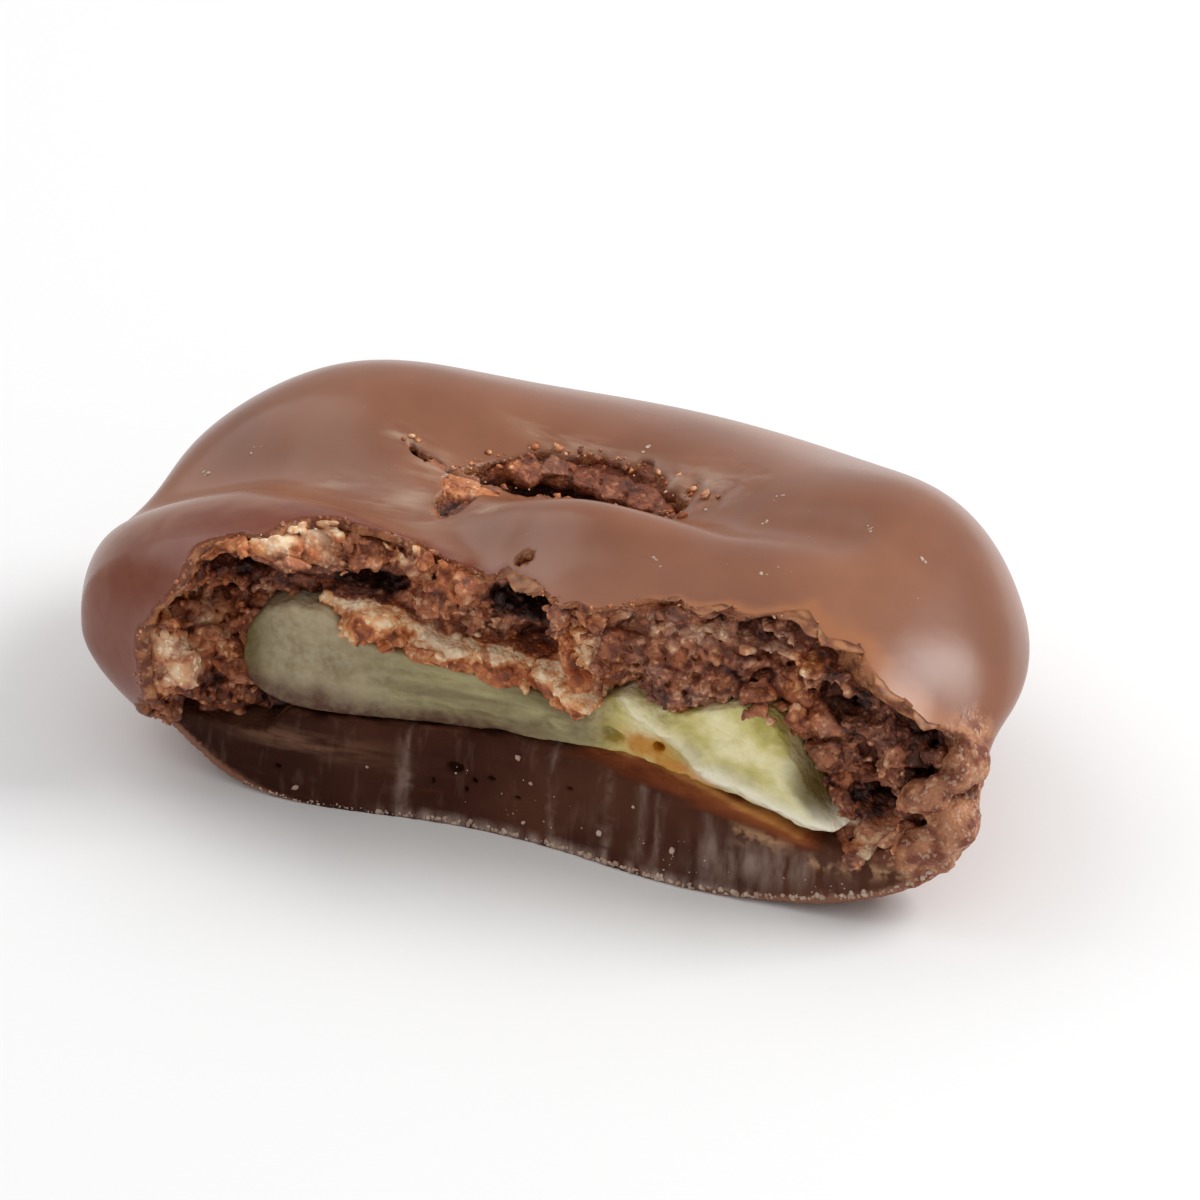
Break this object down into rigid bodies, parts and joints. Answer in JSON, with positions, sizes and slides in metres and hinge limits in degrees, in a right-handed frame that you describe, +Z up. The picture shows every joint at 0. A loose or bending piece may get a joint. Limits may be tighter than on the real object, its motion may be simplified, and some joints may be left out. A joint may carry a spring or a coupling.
{
  "type": "bitten chocolate covered banana chip",
  "caption": "Rounded oblong sweet with its front bitten off: thin milk chocolate coat and thick base round crumbly chocolate and a dried banana slice.",
  "frame": {"origin": "middle of the underside of the bounding box", "axes": "+X along the length towards the fuller right end, +Z up from the flat underside, the bitten face looks along -Y"},
  "size_m": [0.0304, 0.018, 0.0102],
  "materials": {
    "milk_chocolate": "smooth poured milk chocolate with a soft sheen, dense and darker where it is bitten",
    "crumbly_chocolate": "rough aerated chocolate crumb, dark in its pits and golden brown on its torn edges",
    "banana": "dried banana, dull grey green at the left and moist pale yellow at the right"
  },
  "bodies": {
    "root": {"milk_chocolate_coating": "milk_chocolate", "crumbly_chocolate": "crumbly_chocolate", "banana_slice": "banana"}
  },
  "joints": []
}
